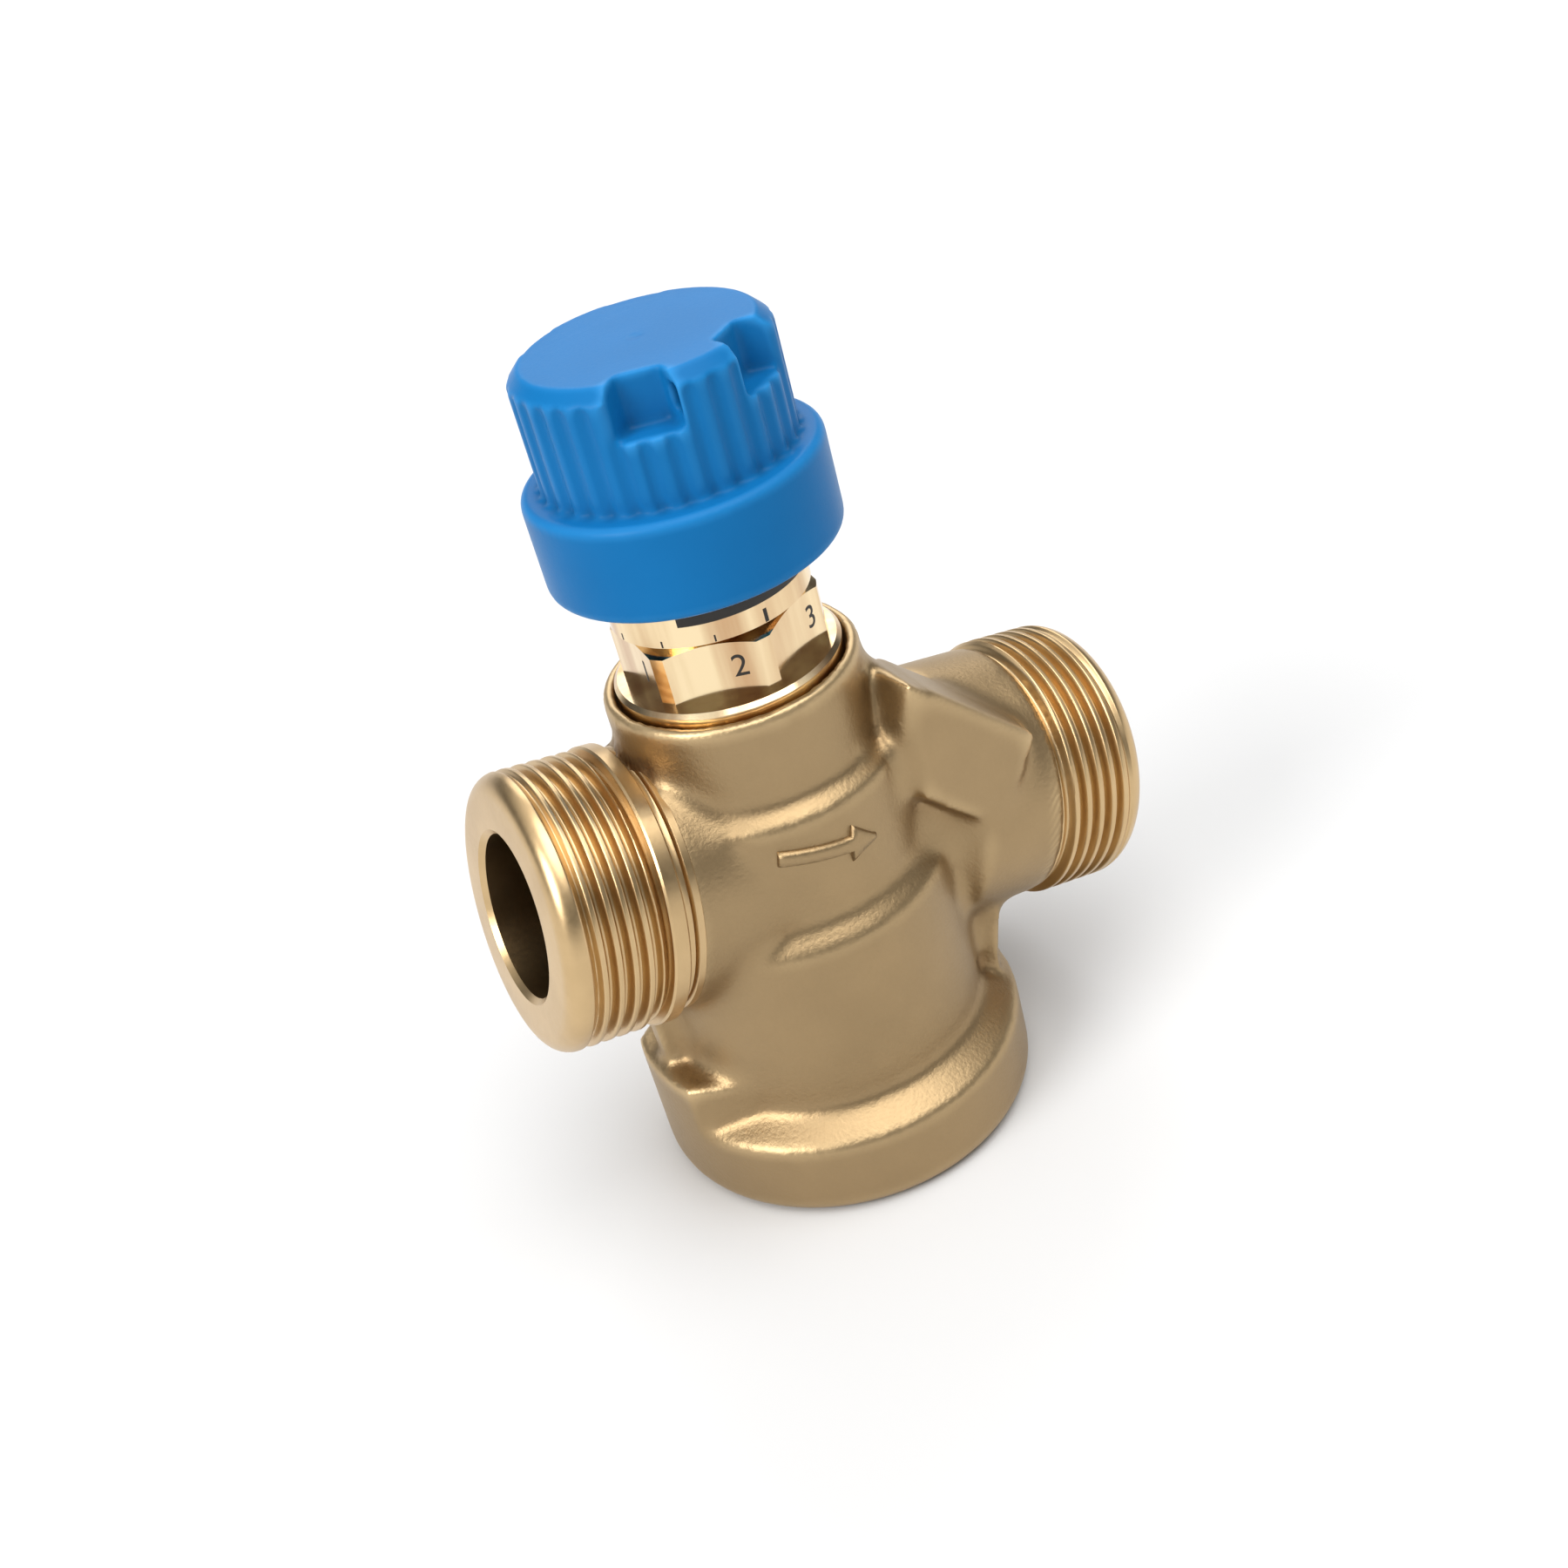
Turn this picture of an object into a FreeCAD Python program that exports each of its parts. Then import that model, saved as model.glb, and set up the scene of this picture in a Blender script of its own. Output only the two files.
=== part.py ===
"""Pressure independent control valve, DN25 class, with its protective hand cap.

Frame: millimetres, +Z up along the stem, +X down the flow, the front is -Y.
The origin is on the stem axis in the plane of the flat base.
"""
import FreeCAD, Part
import os
import re
import Sketcher

SIZES = {
    # Forged body, turned about the stem
    "flange_radius": 30.5,
    "flange_height": 13.3,
    "flange_round": 3.0,
    "ledge_height": 17.0,
    "housing_radius": 25.0,
    "housing_height": 45.5,
    "waist_radius": 22.0,
    "waist_start": 48.6,
    "waist_height": 66.0,
    "neck_radius": 19.0,
    "neck_start": 68.0,
    "neck_height": 82.0,
    "shoulder_round": 1.5,
    "rim_round": 1.1,
    # Ports, turned about the pipe axis
    "pipe_height": 50.5,
    "pipe_slope": 12.0,
    "inlet_reach": 43.5,
    "outlet_reach": 54.0,
    "port_bore_radius": 12.5,
    "port_bore_chamfer": 0.8,
    "port_way_radius": 11.5,
    "thread_root_radius": 19.45,
    "thread_length": 15.5,
    "thread_lead": 1.3,
    "inlet_collar_radius": 21.2,
    "inlet_collar_width": 2.6,
    "inlet_groove_radius": 19.3,
    "inlet_groove_width": 1.4,
    "inlet_pipe_radius": 20.0,
    "inlet_pipe_end": 2.0,
    "inlet_bore_depth": 22.0,
    "inlet_way_end": 17.5,
    "outlet_collar_radius": 20.2,
    "outlet_collar_start": 21.5,
    "outlet_collar_bevel": 3.5,
    "outlet_pipe_radius": 16.5,
    "outlet_bore_depth": 31.2,
    "outlet_way_end": 21.0,
    # Blank test point boss between the neck and the outlet
    "boss_slope": 45.0,
    "boss_floor_start": 6.0,
    "boss_floor_end": 22.3,
    "boss_face_start": -1.9,
    "boss_face_end": 20.0,
    "boss_floor": 16.4,
    "boss_face": 31.5,
    "boss_back": 3.0,
    "boss_reach": 20.0,
    # Ribs, pads and the bulge under the outlet
    "bulge_angle": 52.0,
    "bulge_low_radius": 28.5,
    "bulge_high_radius": 33.0,
    "bulge_top": 40.0,
    "pad_angle": 34.0,
    "pad_root_half_width": 15.3,
    "pad_height": 22.5,
    "rib_reach": 28.5,
    "rib_top": 42.0,
    "rib_width": 4.0,
    # Chambers inside the body
    "cover_bore_radius": 26.0,
    "cover_bore_depth": 10.0,
    "clamp_bore_radius": 24.0,
    "diaphragm_seat": 14.0,
    "lower_chamber_radius": 19.5,
    "lower_chamber_top": 39.0,
    "regulator_web_top": 43.0,
    "regulator_bore_radius": 12.5,
    "middle_chamber_radius": 14.0,
    "control_web_floor": 50.0,
    "control_web_top": 54.0,
    "control_bore_radius": 9.5,
    "upper_chamber_radius": 18.0,
    "bonnet_bore_start": 70.0,
    "bonnet_bore_radius": 16.0,
    "bonnet_seat": 79.0,
    "bonnet_recess_radius": 17.2,
    # Fits
    "thread_fit": 0.05,
    "running_fit": 0.06,
    "loose_gap": 0.4,
    # Bottom cover and diaphragm clamp
    "cover_floor": 4.0,
    "cover_rim_width": 5.0,
    "cover_key_radius": 14.0,
    "cover_key_width": 5.0,
    "cover_key_depth": 2.2,
    "cover_seal_drop": 2.6,
    "cover_seal_wire": 1.2,
    "clamp_ring_height": 2.6,
    "clamp_ring_width": 4.3,
    # Differential pressure regulator
    "diaphragm_centre_height": 18.0,
    "diaphragm_wall": 1.0,
    "diaphragm_roll_radius": 16.4,
    "plate_radius": 14.0,
    "plate_wall": 2.0,
    "plug_stem_radius": 5.0,
    "plug_disc_radius": 11.4,
    "plug_disc_wall": 1.8,
    "plug_lift": 4.6,
    "regulator_bolt_radius": 3.0,
    "spring_cup_wall": 1.2,
    "spring_cup_lip": 2.4,
    "diaphragm_nut_radius": 5.5,
    "diaphragm_nut_height": 3.2,
    "regulator_seat_bore": 9.6,
    "regulator_seat_lip": 0.8,
    "main_spring_radius": 11.2,
    "main_spring_wire": 0.85,
    "main_spring_turns": 4.0,
    # Control seat, cone and spindle
    "control_seat_bore": 7.0,
    "control_seat_lip": 1.0,
    "spindle_lift": 4.5,
    "gasket_radius": 8.4,
    "gasket_wall": 2.0,
    "cone_radius": 8.8,
    "cone_height": 4.5,
    "cone_skirt": 3.0,
    "cone_screw_radius": 5.0,
    "cone_screw_height": 2.6,
    "spindle_radius": 3.0,
    "clip_radius": 6.6,
    "clip_wall": 1.2,
    "return_spring_radius": 5.2,
    "return_spring_wire": 0.55,
    "return_spring_turns": 7.0,
    # Bonnet
    "bonnet_low": 71.0,
    "bonnet_flange_radius": 16.8,
    "bonnet_flange_top": 83.4,
    "bonnet_key_flats": 27.0,
    "bonnet_key_radius": 15.0,
    "bonnet_key_top": 92.4,
    "bonnet_key_bevel": 1.2,
    "bonnet_neck_radius": 13.0,
    "cap_thread_low": 99.4,
    "cap_thread_radius": 15.0,
    "bonnet_top": 110.0,
    "bonnet_lower_pocket": 10.0,
    "guide_web_floor": 76.0,
    "guide_web_top": 80.0,
    "bonnet_upper_pocket": 8.0,
    "return_spring_length": 15.0,
    "bonnet_seal_rise": 3.6,
    "bonnet_seal_wire": 1.0,
    "gland_depth": 9.5,
    "gland_head_radius": 9.5,
    "gland_head_height": 1.6,
    "gland_seal_drop": 5.0,
    "gland_seal_wire": 1.0,
    # Setting ring
    "ring_play": 0.5,
    "ring_outer_radius": 14.6,
    "ring_split": 1.6,
    "ring_split_turn": 90.0,
    # Hand cap
    "skirt_rise": 0.8,
    "skirt_radius": 21.2,
    "skirt_height": 14.1,
    "skirt_wall": 2.2,
    "skirt_round": 1.3,
    "skirt_depth": 11.8,
    "cap_sleeve_wall": 2.0,
    "cap_sleeve_rise": 2.0,
    "knob_radius": 18.1,
    "knob_height": 17.2,
    "knob_bevel": 2.0,
    "gate_radius": 1.2,
    "gate_depth": 0.4,
    "cap_crown": 2.9,
    "cap_hollow_radius": 10.5,
    "pusher_radius": 4.0,
    "notch_spread": 30.5,
    "notch_depth": 7.3,
    "notch_inner_radius": 13.2,
    "notch_half_width": 5.3,
    "notch_taper": 2.4,
    "flute_depth": 0.55,
    "flute_half_width": 1.0,
    "flute_taper": 0.4,
    "flute_count": 32,
    "eye_drop": 3.8,
    "eye_width": 2.2,
    "eye_tall": 4.0,
    "eye_radius": 15.4,
    "eye_turn": -85.0,
}

doc = FreeCAD.newDocument("control_valve")
sheet = doc.addObject("Spreadsheet::Sheet", "Sizes")
for row, (size_name, size_value) in enumerate(SIZES.items(), start=1):
    sheet.set(f"A{row}", size_name)
    sheet.set(f"B{row}", str(size_value))
    sheet.setAlias(f"B{row}", size_name)
doc.recompute()

CAP_LOW = "cap_thread_low + skirt_rise"
SKIRT_TOP = f"{CAP_LOW} + skirt_height"
CAP_TOP = f"{SKIRT_TOP} + knob_height"
RING_LOW = "bonnet_key_top + ring_play"
RING_HIGH = "cap_thread_low - ring_play"
SPINDLE_TOP = "bonnet_top + gland_head_height + spindle_lift + loose_gap"


def bound(text):
    """Write a size expression with each name pointing at its cell."""
    return re.sub(r"[a-z][a-z_]+(?![a-z_(])", r"Sizes.\g<0>", text)


def value(text):
    """The number that a size expression gives now."""
    return float(sheet.evalExpression(bound(text)))


def plane_of(body, role):
    return next(part for part in body.Origin.OriginFeatures if part.Role == role)


def outline(body, name, role, points, lift="0", turn="0", turn_axis=(0, 0, 1), out="0"):
    """A closed sketch of straight lines whose corners are bound to size expressions.

    lift raises it along Z, turn turns it in its plane, out moves an upright sketch forward.
    """
    sketch = body.newObject("Sketcher::SketchObject", name)
    sketch.AttachmentSupport = [(plane_of(body, role), "")]
    sketch.MapMode = "FlatFace"
    axis = FreeCAD.Vector(*turn_axis)
    sketch.AttachmentOffset = FreeCAD.Placement(FreeCAD.Vector(), FreeCAD.Rotation(axis, value(turn)))
    sides = {"y": lift, "z": out} if role == "XZ_Plane" else {"z": lift}
    for side, text in sides.items():
        if text != "0":
            sketch.setExpression(f".AttachmentOffset.Base.{side}", bound(text))
    if turn != "0":
        sketch.setExpression(".AttachmentOffset.Rotation.Angle", bound(turn))
    corners = [FreeCAD.Vector(value(x), value(y), 0) for x, y in points]
    count = len(corners)
    for index in range(count):
        sketch.addGeometry(Part.LineSegment(corners[index], corners[(index + 1) % count]), False)
    for index in range(count):
        sketch.addConstraint(Sketcher.Constraint("Coincident", index, 2, (index + 1) % count, 1))
    for index, corner in enumerate(points):
        for kind, axis_index, text in zip(("DistanceX", "DistanceY"), (-2, -1), corner):
            if text == "0":
                sketch.addConstraint(Sketcher.Constraint("PointOnObject", index, 1, axis_index))
                continue
            rule = Sketcher.Constraint(kind, -1, 1, index, 1, value(text))
            sketch.setExpression(f"Constraints[{sketch.addConstraint(rule)}]", bound(text))
    return sketch


def body_named(label):
    body = doc.addObject("PartDesign::Body", label)
    body.Label = label
    return body


def turned(body, name, kind, sketch, axis="V_Axis", angle=None):
    """Revolve a sketch about one of its own axes, to add (Revolution) or to cut (Groove)."""
    feature = body.newObject("PartDesign::" + kind, name)
    feature.Profile = sketch
    feature.ReferenceAxis = (sketch, [axis])
    feature.Angle = 360
    if angle:
        feature.Midplane = True
        feature.setExpression("Angle", bound(angle))
    doc.recompute()
    return feature


def turned_piece(label, points):
    """A piece that is one turned profile about the stem axis."""
    body = body_named(label)
    turned(body, label + "_turned", "Revolution", outline(body, label + "_profile", "XZ_Plane", points))
    return body


def extruded(body, name, kind, sketch, length, midplane=False, reverse=False):
    """Pad or pocket a sketch along its normal."""
    feature = body.newObject("PartDesign::" + kind, name)
    feature.Profile = sketch
    feature.setExpression("Length", bound(length))
    feature.Midplane = midplane
    feature.Reversed = reverse
    doc.recompute()
    return feature


def around(body, name, feature, sketch, count):
    """Repeat a feature round the axis that its sketch's normal gives."""
    pattern = body.newObject("PartDesign::PolarPattern", name)
    pattern.Originals = [feature]
    pattern.Axis = (sketch, ["N_Axis"])
    pattern.Angle = 360
    pattern.setExpression("Occurrences", bound(count))
    body.Tip = pattern
    doc.recompute()
    return pattern


def rounded(body, name, base, circles, radius):
    """Round the circular edges that lie at the given radius and height."""
    wanted = [(value(across), value(height)) for across, height in circles]
    names = []
    for index, edge in enumerate(base.Shape.Edges, start=1):
        curve = edge.Curve
        if not isinstance(curve, Part.Circle):
            continue
        for across, height in wanted:
            if abs(curve.Radius - across) < 1e-4 and abs(curve.Center.z - height) < 1e-4:
                names.append(f"Edge{index}")
    feature = body.newObject("PartDesign::Fillet", name)
    feature.Base = (base, names)
    feature.setExpression("Radius", bound(radius))
    doc.recompute()
    return feature


def ring(label, inner, outer, low, high):
    """A plain flat ring about the stem axis."""
    return turned_piece(label, [(inner, low), (outer, low), (outer, high), (inner, high)])


def seal(label, across, wire, height):
    """An O-ring about the stem axis."""
    torus = doc.addObject("Part::Torus", label)
    torus.Label = label
    torus.setExpression("Radius1", bound(across))
    torus.setExpression("Radius2", bound(wire))
    torus.setExpression(".Placement.Base.z", bound(height))
    return torus


def coil(label, across, wire, low, high, turns):
    """A round wire spring about the stem axis, between two seats."""
    spine = doc.addObject("Part::Helix", label + "_line")
    spine.setExpression("Radius", bound(across))
    spine.setExpression("Height", bound(f"({high}) - ({low}) - 2 * {wire}"))
    spine.setExpression("Pitch", bound(f"(({high}) - ({low}) - 2 * {wire}) / {turns}"))
    spine.setExpression(".Placement.Base.z", bound(f"({low}) + {wire}"))
    section = doc.addObject("Part::RegularPolygon", label + "_wire")
    section.Polygon = 6
    section.setExpression("Circumradius", bound(wire))
    section.setExpression(".Placement.Base.x", bound(across))
    section.setExpression(".Placement.Base.z", bound(f"({low}) + {wire}"))
    section.Placement.Rotation = FreeCAD.Rotation(FreeCAD.Vector(1, 0, 0), 90)
    spring = doc.addObject("Part::Sweep", label)
    spring.Label = label
    spring.Sections = [section]
    spring.Spine = (spine, [])
    spring.Solid = True
    spring.Frenet = True
    return spring


def valve_body():
    """Hot forged body: housing, waist and neck on the stem axis, two ports on the sloping pipe axis."""
    body = body_named("valve_body")
    stem = turned(body, "stem", "Revolution", outline(body, "stem_profile", "YZ_Plane", [
        ("0", "0"),
        ("flange_radius", "0"),
        ("flange_radius", "flange_height"),
        ("housing_radius", "ledge_height"),
        ("housing_radius", "housing_height"),
        ("waist_radius", "waist_start"),
        ("waist_radius", "waist_height"),
        ("neck_radius", "neck_start"),
        ("neck_radius", "neck_height"),
        ("0", "neck_height"),
    ]))
    base = rounded(body, "flange_edges", stem, [("flange_radius", "0")], "flange_round")
    base = rounded(body, "shoulder_edges", base, [
        ("housing_radius", "housing_height"),
        ("waist_radius", "waist_height"),
    ], "shoulder_round")
    rounded(body, "rim_edge", base, [("neck_radius", "neck_height")], "rim_round")

    inlet_thread = "thread_length - inlet_reach"
    collar_end = inlet_thread + " + inlet_collar_width"
    groove_end = collar_end + " + inlet_groove_width"
    outlet_thread = "outlet_reach - thread_length"
    turned(body, "ports", "Revolution", outline(body, "port_profile", "XZ_Plane", [
        ("-inlet_reach", "0"),
        ("-inlet_reach", "thread_root_radius - thread_lead"),
        ("thread_lead - inlet_reach", "thread_root_radius"),
        (inlet_thread, "thread_root_radius"),
        (inlet_thread, "inlet_collar_radius"),
        (collar_end, "inlet_collar_radius"),
        (collar_end, "inlet_groove_radius"),
        (groove_end, "inlet_groove_radius"),
        (groove_end, "inlet_pipe_radius"),
        ("-inlet_pipe_end", "inlet_pipe_radius"),
        ("-inlet_pipe_end", "outlet_pipe_radius"),
        ("outlet_collar_start", "outlet_pipe_radius"),
        ("outlet_collar_start", "outlet_collar_radius - outlet_collar_bevel"),
        ("outlet_collar_start + outlet_collar_bevel", "outlet_collar_radius"),
        (outlet_thread, "outlet_collar_radius"),
        (outlet_thread, "thread_root_radius"),
        ("outlet_reach - thread_lead", "thread_root_radius"),
        ("outlet_reach", "thread_root_radius - thread_lead"),
        ("outlet_reach", "0"),
    ], lift="pipe_height", turn="-pipe_slope"), axis="H_Axis")

    boss = outline(body, "boss_outline", "XZ_Plane", [
        ("boss_floor_start", "boss_floor"),
        ("boss_floor_end", "boss_floor"),
        ("boss_face_end", "boss_face"),
        ("boss_face_start", "boss_face"),
    ], lift="pipe_height", turn="-boss_slope", out="boss_back")
    extruded(body, "test_point_boss", "Pad", boss, "boss_reach - boss_back")

    turned(body, "outlet_bulge", "Revolution", outline(body, "bulge_profile", "XZ_Plane", [
        ("lower_chamber_radius", "flange_height"),
        ("bulge_low_radius", "flange_height"),
        ("bulge_low_radius", "ledge_height"),
        ("bulge_high_radius", "bulge_top"),
        ("lower_chamber_radius", "bulge_top"),
    ]), angle="bulge_angle")
    turned(body, "inlet_pad", "Revolution", outline(body, "pad_profile", "XZ_Plane", [
        ("-lower_chamber_radius", "flange_height / 2"),
        ("-flange_radius", "flange_height / 2"),
        ("-flange_radius", "pad_height"),
        ("-lower_chamber_radius", "pad_height"),
    ]), angle="pad_angle")
    nose = "flange_radius * cos(pad_angle / 2)"
    nose_half_width = "flange_radius * sin(pad_angle / 2)"
    cheeks = outline(body, "pad_cheek_outline", "XY_Plane", [
        ("-lower_chamber_radius", "-pad_root_half_width"),
        ("-lower_chamber_radius", "pad_root_half_width"),
        (f"-({nose})", nose_half_width),
        (f"-({nose})", f"-({nose_half_width})"),
    ], lift="flange_height / 2")
    extruded(body, "pad_cheeks", "Pad", cheeks, "pad_height - flange_height / 2")
    rib = outline(body, "rib_outline", "XZ_Plane", [
        ("-rib_reach", "flange_height"),
        ("-lower_chamber_radius", "flange_height"),
        ("-lower_chamber_radius", "rib_top"),
        ("-rib_reach", "rib_top"),
    ])
    extruded(body, "inlet_rib", "Pad", rib, "rib_width", midplane=True)

    turned(body, "chambers", "Groove", outline(body, "chamber_profile", "YZ_Plane", [
        ("0", "0"),
        ("cover_bore_radius", "0"),
        ("cover_bore_radius", "cover_bore_depth"),
        ("clamp_bore_radius", "cover_bore_depth"),
        ("clamp_bore_radius", "diaphragm_seat"),
        ("lower_chamber_radius", "diaphragm_seat"),
        ("lower_chamber_radius", "lower_chamber_top"),
        ("regulator_bore_radius", "lower_chamber_top"),
        ("regulator_bore_radius", "regulator_web_top"),
        ("middle_chamber_radius", "regulator_web_top"),
        ("middle_chamber_radius", "control_web_floor"),
        ("control_bore_radius", "control_web_floor"),
        ("control_bore_radius", "control_web_top"),
        ("upper_chamber_radius", "control_web_top"),
        ("upper_chamber_radius", "neck_start - 2 * shoulder_round"),
        ("bonnet_bore_radius", "bonnet_bore_start"),
        ("bonnet_bore_radius", "bonnet_seat"),
        ("bonnet_recess_radius", "bonnet_seat"),
        ("bonnet_recess_radius", "neck_height"),
        ("0", "neck_height"),
    ]))
    for side, sign in (("inlet", "-"), ("outlet", "")):
        face = f"{sign}{side}_reach"
        lead = f"{sign}({side}_reach - port_bore_chamfer)"
        step = f"{sign}({side}_reach - {side}_bore_depth)"
        end = f"{sign}{side}_way_end"
        turned(body, side + "_bore", "Groove", outline(body, side + "_bore_profile", "XZ_Plane", [
            (face, "0"),
            (face, "port_bore_radius + port_bore_chamfer"),
            (lead, "port_bore_radius"),
            (step, "port_bore_radius"),
            (step, "port_way_radius"),
            (end, "port_way_radius"),
            (end, "0"),
        ], lift="pipe_height", turn="-pipe_slope"), axis="H_Axis")
    return body


def bottom_cover():
    """Screwed brass cover of the diaphragm housing, with two recesses for a pin spanner below."""
    outer = "cover_bore_radius - thread_fit"
    groove = "cover_bore_radius - 2 * cover_seal_wire - thread_fit"
    body = turned_piece("bottom_cover", [
        ("0", "0"),
        (outer, "0"),
        (outer, "cover_bore_depth - cover_seal_drop - cover_seal_wire - thread_fit"),
        (groove, "cover_bore_depth - cover_seal_drop - cover_seal_wire - thread_fit"),
        (groove, "cover_bore_depth - cover_seal_drop + cover_seal_wire + thread_fit"),
        (outer, "cover_bore_depth - cover_seal_drop + cover_seal_wire + thread_fit"),
        (outer, "cover_bore_depth"),
        ("clamp_bore_radius - cover_rim_width", "cover_bore_depth"),
        ("clamp_bore_radius - cover_rim_width", "cover_floor"),
        ("0", "cover_floor"),
    ])
    half = "cover_key_width / 2"
    key = outline(body, "cover_key_outline", "XY_Plane", [
        (f"cover_key_radius - {half}", f"-({half})"),
        (f"cover_key_radius + {half}", f"-({half})"),
        (f"cover_key_radius + {half}", half),
        (f"cover_key_radius - {half}", half),
    ])
    cut = extruded(body, "cover_key", "Pocket", key, "cover_key_depth", reverse=True)
    around(body, "cover_keys", cut, key, "2")
    return body


def diaphragm():
    """Rolling rubber diaphragm, clamped at its rim and at its centre."""
    rim_low = "cover_bore_depth + clamp_ring_height"
    rim = "clamp_bore_radius - thread_fit"
    centre_top = "diaphragm_centre_height + diaphragm_wall"
    wall = "diaphragm_wall"
    return turned_piece("diaphragm", [
        ("regulator_bolt_radius + thread_fit", "diaphragm_centre_height"),
        (f"diaphragm_roll_radius - {wall}", "diaphragm_centre_height"),
        (f"diaphragm_roll_radius + {wall}", rim_low),
        (rim, rim_low),
        (rim, "diaphragm_seat"),
        (f"diaphragm_roll_radius + 2 * {wall}", "diaphragm_seat"),
        ("diaphragm_roll_radius", centre_top),
        ("regulator_bolt_radius + thread_fit", centre_top),
    ])


def regulator_plug():
    """Mushroom plug that throttles over the regulator seat, on the bolt that carries the diaphragm."""
    bolt_end = "cover_floor + plug_lift + loose_gap"
    low = "diaphragm_centre_height + diaphragm_wall + plate_wall"
    disc = "regulator_web_top + plug_lift"
    return turned_piece("regulator_plug", [
        ("0", bolt_end),
        ("regulator_bolt_radius", bolt_end),
        ("regulator_bolt_radius", low),
        ("plug_stem_radius", low),
        ("plug_stem_radius", disc),
        ("plug_disc_radius", disc),
        ("plug_disc_radius", f"{disc} + plug_disc_wall"),
        ("0", f"{disc} + plug_disc_wall"),
    ])


def spring_cup():
    """Pressed steel cup under the diaphragm that takes the main spring."""
    top = "diaphragm_centre_height"
    return turned_piece("spring_cup", [
        ("regulator_bolt_radius + thread_fit", f"{top} - spring_cup_wall"),
        ("plate_radius - spring_cup_wall", f"{top} - spring_cup_wall"),
        ("plate_radius - spring_cup_wall", f"{top} - spring_cup_lip"),
        ("plate_radius", f"{top} - spring_cup_lip"),
        ("plate_radius", top),
        ("regulator_bolt_radius + thread_fit", top),
    ])


def hexagon_nut(label, bore, across, low, height):
    """A hexagon nut about the stem axis."""
    body = body_named(label)
    flat = f"{across} * sqrt(3) / 2"
    corners = [
        (across, "0"),
        (f"{across} / 2", flat),
        (f"-({across} / 2)", flat),
        (f"-({across})", "0"),
        (f"-({across} / 2)", f"-({flat})"),
        (f"{across} / 2", f"-({flat})"),
    ]
    blank = outline(body, label + "_outline", "XY_Plane", corners, lift=low)
    extruded(body, label + "_blank", "Pad", blank, height)
    hole = outline(body, label + "_bore_profile", "XZ_Plane", [
        ("0", low),
        (bore, low),
        (bore, f"{low} + {height}"),
        ("0", f"{low} + {height}"),
    ])
    turned(body, label + "_bore", "Groove", hole)
    return body


def regulator_group():
    """Cover, clamp, diaphragm, throttle plug and main spring of the pressure regulator."""
    pieces = [bottom_cover()]
    pieces.append(seal("cover_o_ring", "cover_bore_radius - cover_seal_wire - thread_fit",
                       "cover_seal_wire", "cover_bore_depth - cover_seal_drop"))
    clamp_outer = "clamp_bore_radius - thread_fit"
    pieces.append(ring("diaphragm_clamp_ring", f"{clamp_outer} - clamp_ring_width", clamp_outer,
                       "cover_bore_depth", "cover_bore_depth + clamp_ring_height"))
    pieces.append(diaphragm())
    plate_low = "diaphragm_centre_height + diaphragm_wall"
    pieces.append(ring("diaphragm_plate", "regulator_bolt_radius + thread_fit", "plate_radius",
                       plate_low, plate_low + " + plate_wall"))
    pieces.append(regulator_plug())
    pieces.append(spring_cup())
    nut_low = "diaphragm_centre_height - spring_cup_wall - diaphragm_nut_height"
    pieces.append(hexagon_nut("diaphragm_nut", "regulator_bolt_radius + thread_fit",
                              "diaphragm_nut_radius", nut_low, "diaphragm_nut_height"))
    pieces.append(coil("main_spring", "main_spring_radius", "main_spring_wire", "cover_floor",
                       "diaphragm_centre_height - spring_cup_wall", "main_spring_turns"))
    pieces.append(ring("regulator_seat", "regulator_seat_bore", "regulator_bore_radius - thread_fit",
                       "lower_chamber_top - regulator_seat_lip", "regulator_web_top"))
    return pieces


def control_cone():
    """Turned brass cone that throttles the flow over the control seat."""
    low = "control_web_top + control_seat_lip + spindle_lift + gasket_wall"
    hub = "spindle_radius + thread_fit"
    return turned_piece("control_cone", [
        (hub, low),
        ("gasket_radius + thread_fit", low),
        ("gasket_radius + thread_fit", f"{low} - gasket_wall / 2"),
        ("cone_radius", f"{low} - gasket_wall / 2"),
        ("cone_radius", f"{low} + cone_height - cone_skirt"),
        (f"{hub} + cone_skirt", f"{low} + cone_height"),
        (hub, f"{low} + cone_height"),
    ])


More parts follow.
